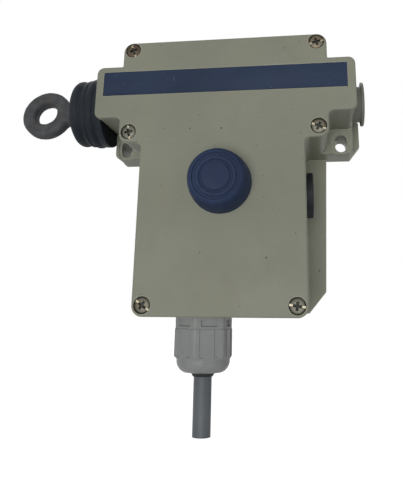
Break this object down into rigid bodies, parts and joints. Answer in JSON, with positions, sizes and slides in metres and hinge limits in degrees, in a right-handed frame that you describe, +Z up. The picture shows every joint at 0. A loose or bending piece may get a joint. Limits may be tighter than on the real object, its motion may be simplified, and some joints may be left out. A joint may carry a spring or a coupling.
{
  "type": "rope pull switch",
  "caption": "Rope pull emergency switch: stepped metal case with cover, pull eye in a bellows, booted reset button and a cable gland below.",
  "frame": {"origin": "on the rear mounting face, midway between the two lug slots", "axes": "+Z up, +X right as seen from the front, +Y back to the wall"},
  "size_m": [0.2028, 0.071, 0.2071],
  "materials": {
    "painted_case": "satin enamel, grey green beige",
    "painted_plug": "satin enamel, greenish grey",
    "seal_rubber": "matt black",
    "bellows_rubber": "matt blue black",
    "zinc_steel": "yellowish zinc plate",
    "blue_strip": "satin dark blue film",
    "forged_steel": "dark oxidised forging",
    "steel": "machined",
    "brass": "machined",
    "inner_plastic": "natural",
    "contact_plastic": "moulded",
    "blue_rubber": "satin blue",
    "black_plastic": "moulded black",
    "grey_nylon": "moulded light grey",
    "cable_sheath": "grey sheath",
    "core_sheath": "insulated core"
  },
  "bodies": {
    "case": {"housing": "painted_case", "cover": "painted_case", "cover_gasket": "seal_rubber", "cover_screws": "zinc_steel", "label_strip": "blue_strip", "bellows": "bellows_rubber", "shaft_bush": "brass", "main_spring": "steel", "contact_block_left": "contact_plastic", "contact_block_right": "contact_plastic", "terminal_screws": "zinc_steel", "block_screws": "zinc_steel", "latch_bracket": "steel", "bracket_screws": "zinc_steel", "latch_pin": "steel", "reset_boot": "blue_rubber", "reset_bush": "black_plastic", "reset_nut": "black_plastic", "reset_spring": "steel", "arm_end_plug": "painted_plug", "side_plug_left": "black_plastic", "side_plug_right": "black_plastic", "gland_body": "grey_nylon", "gland_nut": "grey_nylon", "gland_seal": "seal_rubber", "supply_cable": "cable_sheath", "cable_cores": "core_sheath", "earth_screw": "zinc_steel"},
    "pull": {"pull_eye": "forged_steel", "pull_shaft": "steel", "spring_seat": "steel", "shaft_clip": "steel", "cam_slide": "inner_plastic", "cam_pin": "steel"},
    "reset": {"reset_plunger": "inner_plastic", "reset_clip": "steel"},
    "latch": {"latch_lever": "steel"},
    "contacts": {"contact_plungers": "inner_plastic"}
  },
  "joints": [
    {"name": "pull_slide", "type": "slide", "parent": "case", "child": "pull", "axis": [-1, 0, 0], "range_m": [0, 0.012], "stiffness_N_per_m": 6000, "deforming": ["bellows", "main_spring"]},
    {"name": "reset_push", "type": "slide", "parent": "case", "child": "reset", "axis": [0, 1, 0], "range_m": [0, 0.004], "stiffness_N_per_m": 1500, "deforming": ["reset_boot", "reset_spring"]},
    {"name": "latch_turn", "type": "hinge", "parent": "case", "child": "latch", "pos_m": [0, -0.041, -0.005], "axis": [1, 0, 0], "range_deg": [0, 9.3]},
    {"name": "contact_press", "type": "slide", "parent": "case", "child": "contacts", "axis": [0, 0, -1], "range_m": [0, 0.003]}
  ],
  "couplings": [
    {"joint": "latch_turn", "follows": "reset_push", "rad_per_m": 40},
    {"joint": "contact_press", "follows": "pull_slide", "ratio": 0.25}
  ]
}
